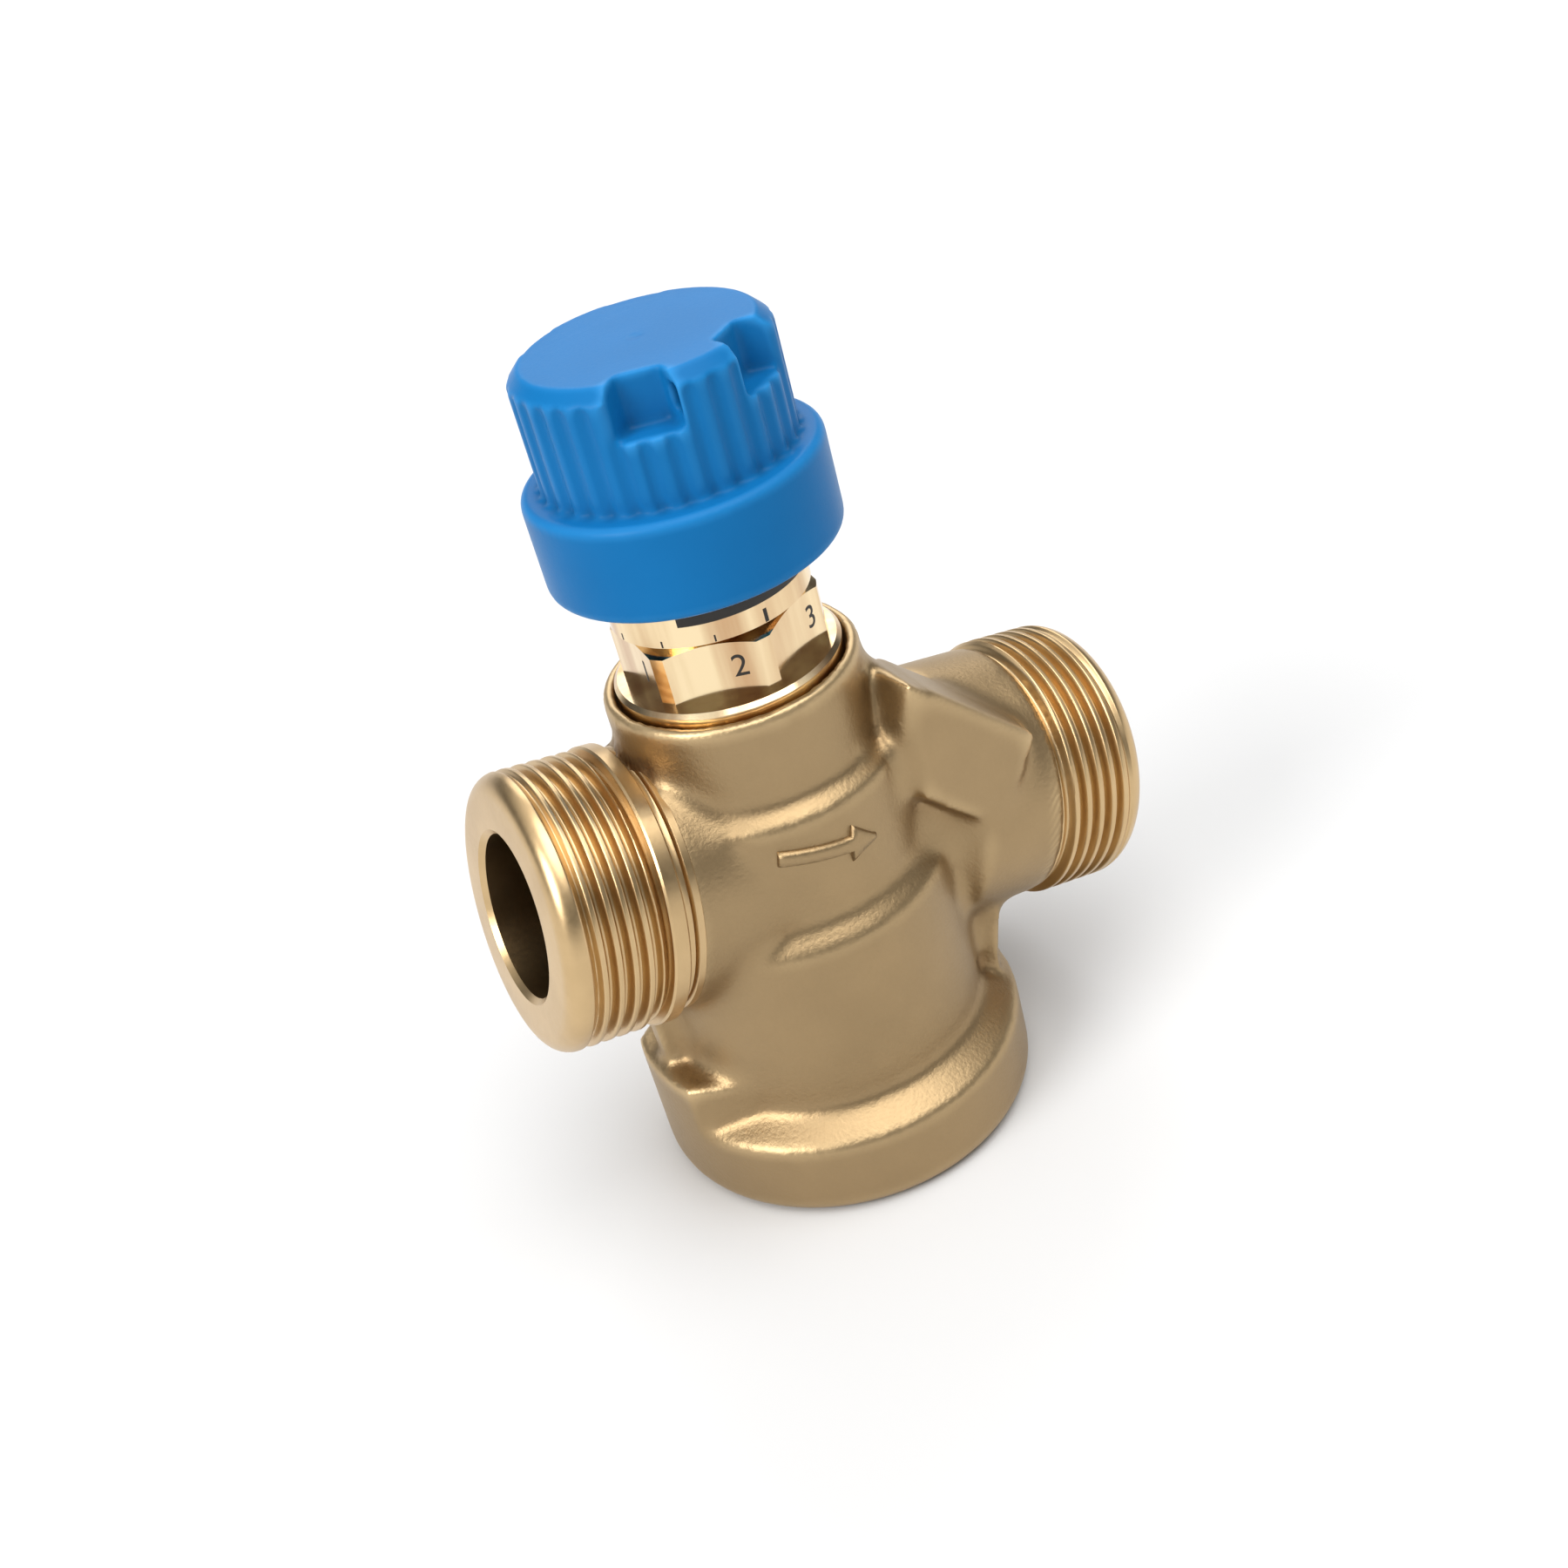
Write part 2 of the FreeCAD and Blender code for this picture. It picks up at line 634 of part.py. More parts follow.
def bonnet():
    """Polished brass bonnet: screwed spigot, flange, hexagon, plain neck and cap thread."""
    spigot = "bonnet_bore_radius - thread_fit"
    seal_groove = "bonnet_bore_radius - 2 * bonnet_seal_wire - thread_fit"
    guide = "spindle_radius + running_fit"
    body = turned_piece("bonnet", [
        ("bonnet_lower_pocket", "bonnet_low"),
        (spigot, "bonnet_low"),
        (spigot, "bonnet_low + bonnet_seal_rise - bonnet_seal_wire - thread_fit"),
        (seal_groove, "bonnet_low + bonnet_seal_rise - bonnet_seal_wire - thread_fit"),
        (seal_groove, "bonnet_low + bonnet_seal_rise + bonnet_seal_wire + thread_fit"),
        (spigot, "bonnet_low + bonnet_seal_rise + bonnet_seal_wire + thread_fit"),
        (spigot, "bonnet_seat"),
        ("bonnet_flange_radius", "bonnet_seat"),
        ("bonnet_flange_radius", "bonnet_flange_top - bonnet_key_bevel / 2"),
        ("bonnet_flange_radius - bonnet_key_bevel / 2", "bonnet_flange_top"),
        ("bonnet_key_radius", "bonnet_flange_top"),
        ("bonnet_key_radius", "bonnet_key_top - bonnet_key_bevel"),
        ("bonnet_neck_radius", "bonnet_key_top"),
        ("bonnet_neck_radius", "cap_thread_low"),
        ("cap_thread_radius", "cap_thread_low"),
        ("cap_thread_radius", "bonnet_top - bonnet_key_bevel"),
        ("cap_thread_radius - bonnet_key_bevel", "bonnet_top"),
        ("bonnet_upper_pocket", "bonnet_top"),
        ("bonnet_upper_pocket", "guide_web_top"),
        (guide, "guide_web_top"),
        (guide, "guide_web_floor"),
        ("bonnet_lower_pocket", "guide_web_floor"),
    ])
    flat = outline(body, "key_flat_outline", "XY_Plane", [
        ("bonnet_key_flats / 2", "-bonnet_key_radius"),
        ("bonnet_key_radius + bonnet_key_bevel", "-bonnet_key_radius"),
        ("bonnet_key_radius + bonnet_key_bevel", "bonnet_key_radius"),
        ("bonnet_key_flats / 2", "bonnet_key_radius"),
    ], lift="bonnet_flange_top")
    cut = extruded(body, "key_flat", "Pocket", flat, "bonnet_key_top - bonnet_flange_top", reverse=True)
    around(body, "key_flats", cut, flat, "6")
    return body


def gland_nut():
    """Brass gland screwed into the bonnet's head, with the groove of the spindle seal."""
    outer = "bonnet_upper_pocket - thread_fit"
    bore = "spindle_radius + running_fit"
    groove = "spindle_radius + running_fit + 2 * gland_seal_wire"
    low_lip = "bonnet_top - gland_seal_drop - gland_seal_wire - thread_fit"
    high_lip = "bonnet_top - gland_seal_drop + gland_seal_wire + thread_fit"
    return turned_piece("gland_nut", [
        (bore, "bonnet_top - gland_depth"),
        (outer, "bonnet_top - gland_depth"),
        (outer, "bonnet_top"),
        ("gland_head_radius", "bonnet_top"),
        ("gland_head_radius", "bonnet_top + gland_head_height"),
        (bore, "bonnet_top + gland_head_height"),
        (bore, high_lip),
        (groove, high_lip),
        (groove, low_lip),
        (bore, low_lip),
    ])


def setting_ring():
    """Split brass scale ring that turns on the bonnet's plain neck."""
    body = ring("setting_ring", "bonnet_neck_radius + running_fit", "ring_outer_radius",
                RING_LOW, RING_HIGH)
    past_rim = "ring_outer_radius + ring_split"
    gap = outline(body, "ring_gap_outline", "XY_Plane", [
        ("0", "-ring_split / 2"),
        (past_rim, "-ring_split / 2"),
        (past_rim, "ring_split / 2"),
        ("0", "ring_split / 2"),
    ], lift=RING_LOW, turn="ring_split_turn")
    extruded(body, "ring_gap", "Pocket", gap, f"({RING_HIGH}) - ({RING_LOW})", reverse=True)
    return body


def control_group():
    """Seat, cone, spindle, bonnet and setting ring above the control web."""
    pieces = [ring("control_seat", "control_seat_bore", "control_bore_radius - thread_fit",
                   "control_web_floor", "control_web_top + control_seat_lip")]
    cone_low = "control_web_top + control_seat_lip + spindle_lift"
    pieces.append(ring("cone_gasket", "spindle_radius + thread_fit", "gasket_radius",
                       cone_low, cone_low + " + gasket_wall"))
    pieces.append(control_cone())
    pieces.append(hexagon_nut("cone_nut", "spindle_radius + thread_fit", "cone_screw_radius",
                              cone_low + " - cone_screw_height", "cone_screw_height"))
    pieces.append(turned_piece("spindle", [
        ("0", cone_low + " - cone_screw_height"),
        ("spindle_radius", cone_low + " - cone_screw_height"),
        ("spindle_radius", SPINDLE_TOP),
        ("0", SPINDLE_TOP),
    ]))
    clip_low = "guide_web_top + return_spring_length"
    pieces.append(ring("spindle_clip", "spindle_radius + thread_fit", "clip_radius",
                       clip_low, clip_low + " + clip_wall"))
    pieces.append(coil("return_spring", "return_spring_radius", "return_spring_wire",
                       "guide_web_top", clip_low, "return_spring_turns"))
    pieces.append(bonnet())
    pieces.append(seal("bonnet_o_ring", "bonnet_bore_radius - bonnet_seal_wire - thread_fit",
                       "bonnet_seal_wire", "bonnet_low + bonnet_seal_rise"))
    pieces.append(gland_nut())
    pieces.append(seal("gland_o_ring", "spindle_radius + running_fit + gland_seal_wire",
                       "gland_seal_wire", "bonnet_top - gland_seal_drop"))
    pieces.append(setting_ring())
    return pieces


def hand_cap():
    """Moulded cap: smooth skirt, fluted knob, thumb notches and a sealing eye in the post between them."""
    body = body_named("hand_cap")
    bore = "cap_thread_radius + running_fit"
    sleeve_low = f"{CAP_LOW} + cap_sleeve_rise"
    ceiling = f"{CAP_TOP} - cap_crown"
    thread_top = "bonnet_top + spindle_lift + loose_gap"
    profile = outline(body, "cap_profile", "XZ_Plane", [
        ("0", SPINDLE_TOP),
        ("pusher_radius", SPINDLE_TOP),
        ("pusher_radius", ceiling),
        ("cap_hollow_radius", ceiling),
        ("cap_hollow_radius", thread_top),
        (bore, thread_top),
        (bore, sleeve_low),
        (f"{bore} + cap_sleeve_wall", sleeve_low),
        (f"{bore} + cap_sleeve_wall", f"{CAP_LOW} + skirt_depth"),
        ("skirt_radius - skirt_wall", f"{CAP_LOW} + skirt_depth"),
        ("skirt_radius - skirt_wall", CAP_LOW),
        ("skirt_radius", CAP_LOW),
        ("skirt_radius", SKIRT_TOP),
        ("knob_radius", SKIRT_TOP),
        ("knob_radius", f"{CAP_TOP} - knob_bevel"),
        ("knob_radius - knob_bevel", CAP_TOP),
        ("gate_radius", CAP_TOP),
        ("0", f"{CAP_TOP} - gate_depth"),
    ])
    blank = turned(body, "cap_blank", "Revolution", profile)
    rounded(body, "skirt_edges", blank, [
        ("skirt_radius", SKIRT_TOP),
        ("skirt_radius", CAP_LOW),
    ], "skirt_round")

    past_rim = "knob_radius + flute_depth"
    flute = outline(body, "flute_outline", "XY_Plane", [
        ("knob_radius - flute_depth", "flute_taper - flute_half_width"),
        (past_rim, "-flute_half_width - flute_taper"),
        (past_rim, "flute_half_width + flute_taper"),
        ("knob_radius - flute_depth", "flute_half_width - flute_taper"),
    ], lift=SKIRT_TOP, turn="eye_turn")
    groove = extruded(body, "flute", "Pocket", flute, "knob_height - knob_bevel", reverse=True)
    around(body, "flutes", groove, flute, "flute_count")

    for side, sign in (("left", "-"), ("right", "+")):
        notch = outline(body, f"{side}_notch_outline", "XY_Plane", [
            ("notch_inner_radius", "notch_taper - notch_half_width"),
            (past_rim, "-notch_half_width"),
            (past_rim, "notch_half_width"),
            ("notch_inner_radius", "notch_half_width - notch_taper"),
        ], lift=f"{CAP_TOP} - notch_depth", turn=f"eye_turn {sign} notch_spread")
        cut = extruded(body, f"{side}_notch", "Pocket", notch, "notch_depth", reverse=True)
        around(body, f"{side}_notches", cut, notch, "2")

    eye_middle = f"{CAP_TOP} - eye_drop"
    eye = outline(body, "eye_outline", "XZ_Plane", [
        ("eye_radius - eye_width / 2", f"{eye_middle} - eye_tall / 2"),
        ("eye_radius + eye_width / 2", f"{eye_middle} - eye_tall / 2"),
        ("eye_radius + eye_width / 2", f"{eye_middle} + eye_tall / 2"),
        ("eye_radius - eye_width / 2", f"{eye_middle} + eye_tall / 2"),
    ], turn="eye_turn", turn_axis=(0, 1, 0))
    extruded(body, "sealing_eye", "Pocket", eye, "knob_radius", midplane=True)
    return body


PIECES = [valve_body()] + regulator_group() + control_group() + [hand_cap()]
doc.recompute()

for item in doc.Objects:
    if "Invalid" in item.State or "Error" in item.State:
        raise RuntimeError(f"{item.Label} did not build: {item.State}")
for piece in PIECES:
    if piece.Shape.isNull() or not piece.Shape.isValid() or not piece.Shape.Solids:
        raise RuntimeError(f"{piece.Label} is not a valid solid")

os.makedirs("parts", exist_ok=True)
for piece in PIECES:
    piece.Shape.exportStep(f"parts/{piece.Label}.step")
    print(piece.Label, len(piece.Shape.Solids), round(piece.Shape.Volume, 1))
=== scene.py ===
import math

import bmesh
import bpy
import numpy as np
from mathutils import Matrix


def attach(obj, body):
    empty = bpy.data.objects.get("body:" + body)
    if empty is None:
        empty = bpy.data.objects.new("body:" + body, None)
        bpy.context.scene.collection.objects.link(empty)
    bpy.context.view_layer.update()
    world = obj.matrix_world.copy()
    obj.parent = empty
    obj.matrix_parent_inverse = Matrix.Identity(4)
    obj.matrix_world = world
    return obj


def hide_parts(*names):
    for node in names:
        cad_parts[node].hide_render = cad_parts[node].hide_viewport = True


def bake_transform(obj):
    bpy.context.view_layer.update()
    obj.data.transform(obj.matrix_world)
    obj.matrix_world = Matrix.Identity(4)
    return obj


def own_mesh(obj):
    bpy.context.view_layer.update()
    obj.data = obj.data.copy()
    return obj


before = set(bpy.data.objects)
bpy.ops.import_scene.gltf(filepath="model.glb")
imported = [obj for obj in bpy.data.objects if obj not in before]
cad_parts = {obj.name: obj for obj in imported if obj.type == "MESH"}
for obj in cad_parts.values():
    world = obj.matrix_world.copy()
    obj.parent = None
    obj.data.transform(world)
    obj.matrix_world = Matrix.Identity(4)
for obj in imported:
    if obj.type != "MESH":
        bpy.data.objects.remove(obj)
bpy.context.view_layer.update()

# Forged body: one hot forging of brass, blasted matte, darkened in its corners by oxide and painted shade,
# and lighter on its edges by wear and a painted highlight.
# The die leaves wide fillets between the stem, the ports and the boss, and a web from the boss to the neck.
# The pipe axis falls to the outlet, and the forging is cut back where the pipe ends are turned.
FORGED_BRASS = (0.380, 0.268, 0.142)
FORGED_DIM = 0.93
# The worn tone lightens edges as wear and a painted highlight; the oxide tone darkens corners as oxide and
# painted shade.
FORGED_WORN_AND_HIGHLIGHT = (0.62, 0.455, 0.25)
FORGED_OXIDE_AND_SHADE = (0.20, 0.115, 0.05)
DRIFT_DETAIL = 4.0
DRIFT_RAMP = (0.35, 0.65)
GRAIN_DETAIL = 3.0
GRAIN_DULLING = 0.05
GRAIN_BUMP = 0.5


def finish(name, colour, shade, roughness, patch, grain, depth, streak=(1.0, 1.0, 1.0), metallic=1.0):
    """A finish whose colour drifts between shade and colour over patch, under a grain of the given depth.

    patch, grain and depth are lengths in metres; streak draws the pattern out along an axis. The grain also
    makes the roughness vary a little.
    """
    material = bpy.data.materials.new(name)
    material.use_nodes = True
    nodes = material.node_tree.nodes
    link = material.node_tree.links.new
    shader = nodes["Principled BSDF"]
    shader.inputs["Metallic"].default_value = metallic
    place = nodes.new("ShaderNodeTexCoord")
    stretch = nodes.new("ShaderNodeMapping")
    stretch.inputs["Scale"].default_value = streak
    link(place.outputs["Object"], stretch.inputs["Vector"])
    drift = nodes.new("ShaderNodeTexNoise")
    drift.inputs["Scale"].default_value = 1.0 / patch
    drift.inputs["Detail"].default_value = DRIFT_DETAIL
    link(stretch.outputs["Vector"], drift.inputs["Vector"])
    blend = nodes.new("ShaderNodeValToRGB")
    blend.name = "drift_colour"
    for stop, position, tone in zip(blend.color_ramp.elements, DRIFT_RAMP, (shade, colour)):
        stop.position = position
        stop.color = (*tone, 1.0)
    link(drift.outputs["Fac"], blend.inputs["Fac"])
    link(blend.outputs["Color"], shader.inputs["Base Color"])
    fine = nodes.new("ShaderNodeTexNoise")
    fine.inputs["Scale"].default_value = 1.0 / grain
    fine.inputs["Detail"].default_value = GRAIN_DETAIL
    link(stretch.outputs["Vector"], fine.inputs["Vector"])
    dull = nodes.new("ShaderNodeMapRange")
    dull.inputs["To Min"].default_value = roughness - GRAIN_DULLING
    dull.inputs["To Max"].default_value = roughness + GRAIN_DULLING
    link(fine.outputs["Fac"], dull.inputs["Value"])
    link(dull.outputs["Result"], shader.inputs["Roughness"])
    bump = nodes.new("ShaderNodeBump")
    bump.inputs["Strength"].default_value = GRAIN_BUMP
    bump.inputs["Distance"].default_value = depth
    link(fine.outputs["Fac"], bump.inputs["Height"])
    link(bump.outputs["Normal"], shader.inputs["Normal"])
    return material


def shade_corners(material, oxide, worn):
    """Mix a dark tone in by a skin's corner measure, and then a light tone by its edge measure.

    The dark tone is painted shade, with patina on the forging and stain in the bores; the light tone is a
    painted highlight, with wear on the forging.
    """
    nodes = material.node_tree.nodes
    link = material.node_tree.links.new
    source = nodes["drift_colour"].outputs["Color"]
    for measure, colour in (("corner", oxide), ("edge", worn)):
        reading = nodes.new("ShaderNodeAttribute")
        reading.attribute_name = measure
        tint = nodes.new("ShaderNodeMix")
        tint.data_type = "RGBA"
        tint.inputs["B"].default_value = (*colour, 1.0)
        link(reading.outputs["Fac"], tint.inputs["Factor"])
        link(source, tint.inputs["A"])
        source = tint.outputs["Result"]
    link(source, nodes["Principled BSDF"].inputs["Base Color"])


def placed(name, data):
    """An object at the origin that holds a mesh, an outline, a lamp or a camera."""
    piece = bpy.data.objects.new(name, data)
    bpy.context.scene.collection.objects.link(piece)
    return piece


def settled(blank):
    """The mesh that an object comes to with its modifiers or its outline; the object itself goes."""
    graph = bpy.context.evaluated_depsgraph_get()
    mesh = bpy.data.meshes.new_from_object(blank.evaluated_get(graph))
    bpy.data.objects.remove(blank)
    mesh.materials.clear()
    return mesh


def points_of(mesh):
    """The places of a mesh's points, one row each."""
    flat = np.empty(len(mesh.vertices) * 3)
    mesh.vertices.foreach_get("co", flat)
    return flat.reshape(-1, 3)


WELD_REACH = 0.00001
HELD_EASE = 2
PASS_SHARE = 0.5
PASSES_PER_NORMAL = 8
BEND_PASSES = 6
BEND_GAIN = 14.0
BEND_FLOOR = 0.25


def welded(node, name, cell=None, web=()):
    """A CAD node's mesh with its doubled points merged and, given a cell, remeshed in cubes of that size.

    The corners of a web are spanned by their convex hull, which the remesh makes one with the node.
    """
    blank = placed(name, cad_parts[node].data.copy())
    if web:
        shape = bmesh.new()
        shape.from_mesh(blank.data)
        bmesh.ops.convex_hull(shape, input=[shape.verts.new(corner) for corner in web])
        shape.to_mesh(blank.data)
        shape.free()
    weld = blank.modifiers.new("weld", "WELD")
    weld.merge_threshold = WELD_REACH
    if cell:
        cells = blank.modifiers.new("cells", "REMESH")
        cells.mode = "VOXEL"
        cells.voxel_size = cell
    return settled(blank)


def softened(node, name, cell, eases, fillets, held, finished, web=()):
    """A solid remeshed in small cells, with its edges eased and its inner corners filled.

    Each pass moves a point halfway to the mean of its neighbours. Each point has its own number of passes
    that ease edges, and then of passes in which it may only move outwards, so only hollows fill. A held
    point has only the few passes that take off the steps of the cells.
    The corner and edge measures grow as a point then lies further below or above that mean, in cells.
    """
    skin = welded(node, name, cell, web)
    points = points_of(skin)
    count = len(points)
    edges = np.empty(len(skin.edges) * 2, dtype=np.int64)
    skin.edges.foreach_get("vertices", edges)
    first, second = edges.reshape(-1, 2).T
    valence = np.bincount(first, minlength=count) + np.bincount(second, minlength=count)
    still = held(points)
    eased = np.where(still, HELD_EASE, eases(points))
    filled = np.where(still, 0, fillets(points))

    def mean_of(values):
        """The mean over each point's neighbours: the sum along its edges, divided by their number."""
        total = [np.bincount(first, column[second], count) + np.bincount(second, column[first], count)
                 for column in values.T]
        return np.stack(total, axis=1) / valence[:, None]

    def outward():
        """The direction out of the skin at each point, from the places reached so far."""
        skin.vertices.foreach_set("co", points.ravel())
        skin.update()
        normals = np.empty(count * 3, dtype=np.float32)
        skin.vertex_normals.foreach_get("vector", normals)
        return normals.reshape(count, 3)

    for step in range(eased.max()):
        move = (mean_of(points) - points) * PASS_SHARE
        move[step >= eased] = 0.0
        points = points + move
    for step in range(filled.max()):
        if step % PASSES_PER_NORMAL == 0:
            normals = outward()
        move = (mean_of(points) - points) * PASS_SHARE
        rising = np.einsum("ij,ij->i", move, normals) > 0.0
        move[(step >= filled) | ~rising] = 0.0
        points = points + move
    points = finished(points)
    bend = np.einsum("ij,ij->i", mean_of(points) - points, outward()) / cell
    for _ in range(BEND_PASSES):
        bend = mean_of(bend[:, None])[:, 0]
    # The corner measure is used to darken hollows with painted shade, and the edge measure to lighten edges
    # with a painted highlight.
    for measure, amount in (("corner", bend), ("edge", -bend)):
        values = np.clip(amount * BEND_GAIN - BEND_FLOOR, 0.0, 1.0).astype(np.float32)
        skin.attributes.new(measure, "FLOAT", "POINT").data.foreach_set("value", values)
    skin.shade_smooth()
    return placed(name, skin)


PIPE_SLOPE = math.radians(12.0)
PIPE_HEIGHT = 0.0505
INLET_REACH = 0.0435
OUTLET_REACH = 0.054
THREAD_LENGTH = 0.0155
SHOULDER = OUTLET_REACH - THREAD_LENGTH
SHOULDER_ROUND = 0.0005
FACE_SEAT = 0.0013
COLLAR_SEAT = 0.01915
COLLAR_END = -0.0229
GROOVE_END = -0.0242
GROOVE_FLARE = 0.8
GROOVE_RISE = 0.0010
PORT_CORE = 0.0135
PORT_ZONE = 0.0230
PORT_SIDE = 0.45
PORT_SIDE_OVER = 0.35
NECK_CUT = 0.0795
BASE_CUT = 0.0030
LEDGE_TOP = 0.020
RIM_RADIUS = 0.0196
HOLLOW_RADIUS = 0.0178
BOSS_LEFT = 0.012
BOSS_BACK = -0.002
BOSS_FOOT = 0.055
BOSS_CLEAR = 0.0200
WEB_LEFT = 0.008
WEB_RIGHT = 0.0216
WEB_BACK = -0.001
WEB_FOOT = 0.057
BOSS_WEB = (
    (0.0175, -0.0199, 0.0770), (0.0167, -0.0199, 0.0589), (0.0230, -0.0199, 0.0715),
    (0.0200, -0.0199, 0.0580), (0.0213, -0.0040, 0.0733), (0.0180, -0.0070, 0.0620),
    (0.0160, -0.0100, 0.0772), (0.0113, -0.0154, 0.0585), (0.0178, -0.0048, 0.0768),
)
FORGED_CELL = 0.00073
FORGED_EASE = 5
BOSS_EASE = 11
LEDGE_FILLET = 2
PORT_FILLET = 38
BOSS_FILLET = 24


def pipe_place(points):
    """Distance of points along the pipe axis, their distance from it, and their rise above it."""
    along = points[:, 0] * np.cos(PIPE_SLOPE) - (points[:, 2] - PIPE_HEIGHT) * np.sin(PIPE_SLOPE)
    rise = points[:, 0] * np.sin(PIPE_SLOPE) + (points[:, 2] - PIPE_HEIGHT) * np.cos(PIPE_SLOPE)
    return along, np.hypot(points[:, 1], rise), rise


def body_held(points):
    """The turned ends, the bores and the chambers keep their machined shape."""
    along, around, _ = pipe_place(points)
    ends = (along < COLLAR_END) | (along > SHOULDER) | (around < PORT_CORE)
    stem = np.hypot(points[:, 0], points[:, 1])
    rim = (points[:, 2] > NECK_CUT) & (stem < RIM_RADIUS)
    return ends | rim | (stem < HOLLOW_RADIUS) | (points[:, 2] < BASE_CUT)


def body_eases(points):
    """The die is worn rounder on the boss, which has more passes than the rest."""
    across, front, height = points.T
    boss = (across > BOSS_LEFT) & (front < BOSS_BACK) & (height > BOSS_FOOT)
    boss = boss & (np.hypot(across, front) > BOSS_CLEAR)
    return np.where(boss, BOSS_EASE, FORGED_EASE)


def body_fillets(points):
    """Small fillets on the ledges at the front and back of the stem, growing to the widest beside the ports.

    Above the flange the growth follows the cosine of the turn from the pipe's side. The web has its own.
    """
    across, front, height = points.T
    beside = np.clip((np.abs(across) / np.hypot(across, front) - PORT_SIDE) / PORT_SIDE_OVER, 0.0, 1.0)
    beside = np.where(height > LEDGE_TOP, beside, 0.0)
    count = LEDGE_FILLET + (PORT_FILLET - LEDGE_FILLET) * beside
    behind = (across > WEB_LEFT) & (across < WEB_RIGHT) & (front < WEB_BACK) & (height > WEB_FOOT)
    return np.where(behind, BOSS_FILLET, count).astype(int)


def body_finished(points):
    """Draw the pipe ends in, to sit under their turned and threaded pieces.

    The radius shrinks to the collar's seat, flared behind the groove; the length stops short of each face;
    and points near the outlet's shoulder go to one ring, where the turned piece begins.
    """
    along, around, rise = pipe_place(points)
    under = (along < COLLAR_END) | (along > SHOULDER + SHOULDER_ROUND)
    under = under & (around > PORT_CORE) & (around < PORT_ZONE)
    under = under & (np.hypot(points[:, 0], points[:, 1]) > RIM_RADIUS)
    limit = COLLAR_SEAT + np.clip((along - GROOVE_END) * GROOVE_FLARE, 0.0, GROOVE_RISE) * (along < 0.0)
    shrink = np.where(under, np.minimum(limit / around, 1.0), 1.0)
    near = np.clip(along, FACE_SEAT - INLET_REACH, OUTLET_REACH - FACE_SEAT)
    ring = (np.abs(along - SHOULDER) < SHOULDER_ROUND) & (around > PORT_CORE)
    near = np.where(ring, SHOULDER, near)
    near = np.where(around < PORT_ZONE, near, along)
    side = points[:, 1] * shrink
    rise = rise * shrink
    ends = np.stack([
        near * np.cos(PIPE_SLOPE) + rise * np.sin(PIPE_SLOPE),
        side,
        PIPE_HEIGHT - near * np.sin(PIPE_SLOPE) + rise * np.cos(PIPE_SLOPE),
    ], axis=1)
    moved = under | (near != along)
    return np.where(moved[:, None], ends, points)


forged_brass = finish("forged_brass", FORGED_BRASS, tuple(FORGED_DIM * part for part in FORGED_BRASS),
                      roughness=0.42, patch=0.012, grain=0.0006, depth=0.00012)
# Painted shade with oxide in the forging's hollows, and a painted highlight with wear on its edges.
shade_corners(forged_brass, FORGED_OXIDE_AND_SHADE, FORGED_WORN_AND_HIGHLIGHT)
forged_body = softened("valve_body", "forged_body", FORGED_CELL, body_eases, body_fillets, body_held,
                       body_finished, BOSS_WEB)
forged_body.data.materials.append(forged_brass)
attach(forged_body, "housing")
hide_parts("valve_body")

# Pipe ends: turned faces and G 1 1/4 male threads cut on the forging, with a rounded lead-in.
# The bore behind each face is turned with them and runs back to its step, darkened inside by stain and
# painted shade.
THREAD_PITCH = 0.002309
THREAD_ROOT = 0.01945
THREAD_CREST = 0.020955
THREAD_ROUND = 0.0032
THREAD_START = 0.0027
THREAD_RUN_OUT = 0.8 * THREAD_PITCH
THREAD_CORE = 0.0165
THREAD_STEPS = 170
ROOT_FLAT = 0.12
FLANK_SPAN = 0.66
BORE_RADIUS = 0.01230
BORE_WALL = 0.0006
BORE_CHAMFER = 0.0008
BORE_EDGE = 0.00005
INLET_BORE_DEPTH = 0.0219
OUTLET_BORE_DEPTH = 0.0311
# The bore's dark tone is stain and painted shade.
BORE_STAIN_AND_SHADE = (0.15, 0.095, 0.042)
BORE_MOUTH_STAIN_AND_SHADE = 0.65
TURN_STEPS = 144
FULL_TURN = np.linspace(0.0, 2.0 * np.pi, TURN_STEPS + 1)[:-1, None]
SHARP_EDGE = math.radians(40.0)


def grid_mesh(name, points, closed):
    """A piece of quads over a grid of points (rows, columns, 3), whose columns join round in a ring.

    The rows join round too if closed, and otherwise the first and the last ring are capped.
    """
    rows, columns = points.shape[:2]
    row, column = np.meshgrid(np.arange(rows if closed else rows - 1), np.arange(columns), indexing="ij")
    after = (row + 1) % rows
    beside = (column + 1) % columns
    quads = np.stack([row * columns + column, row * columns + beside,
                      after * columns + beside, after * columns + column], axis=-1)
    faces = quads.reshape(-1, 4).tolist()
    if not closed:
        ring = np.arange(columns)
        faces.append(ring[::-1].tolist())
        faces.append((ring + (rows - 1) * columns).tolist())
    mesh = bpy.data.meshes.new(name)
    mesh.from_pydata(points.reshape(-1, 3), [], faces)
    mesh.shade_smooth()
    return placed(name, mesh)


def along_pipe(distance, radius, angle):
    """Points at a signed distance along the pipe axis, a radius from it and an angle round it."""
    up = radius * np.cos(angle)
    return np.stack([
        distance * np.cos(PIPE_SLOPE) + up * np.sin(PIPE_SLOPE),
        radius * np.sin(angle),
        PIPE_HEIGHT - distance * np.sin(PIPE_SLOPE) + up * np.cos(PIPE_SLOPE),
    ], axis=-1)


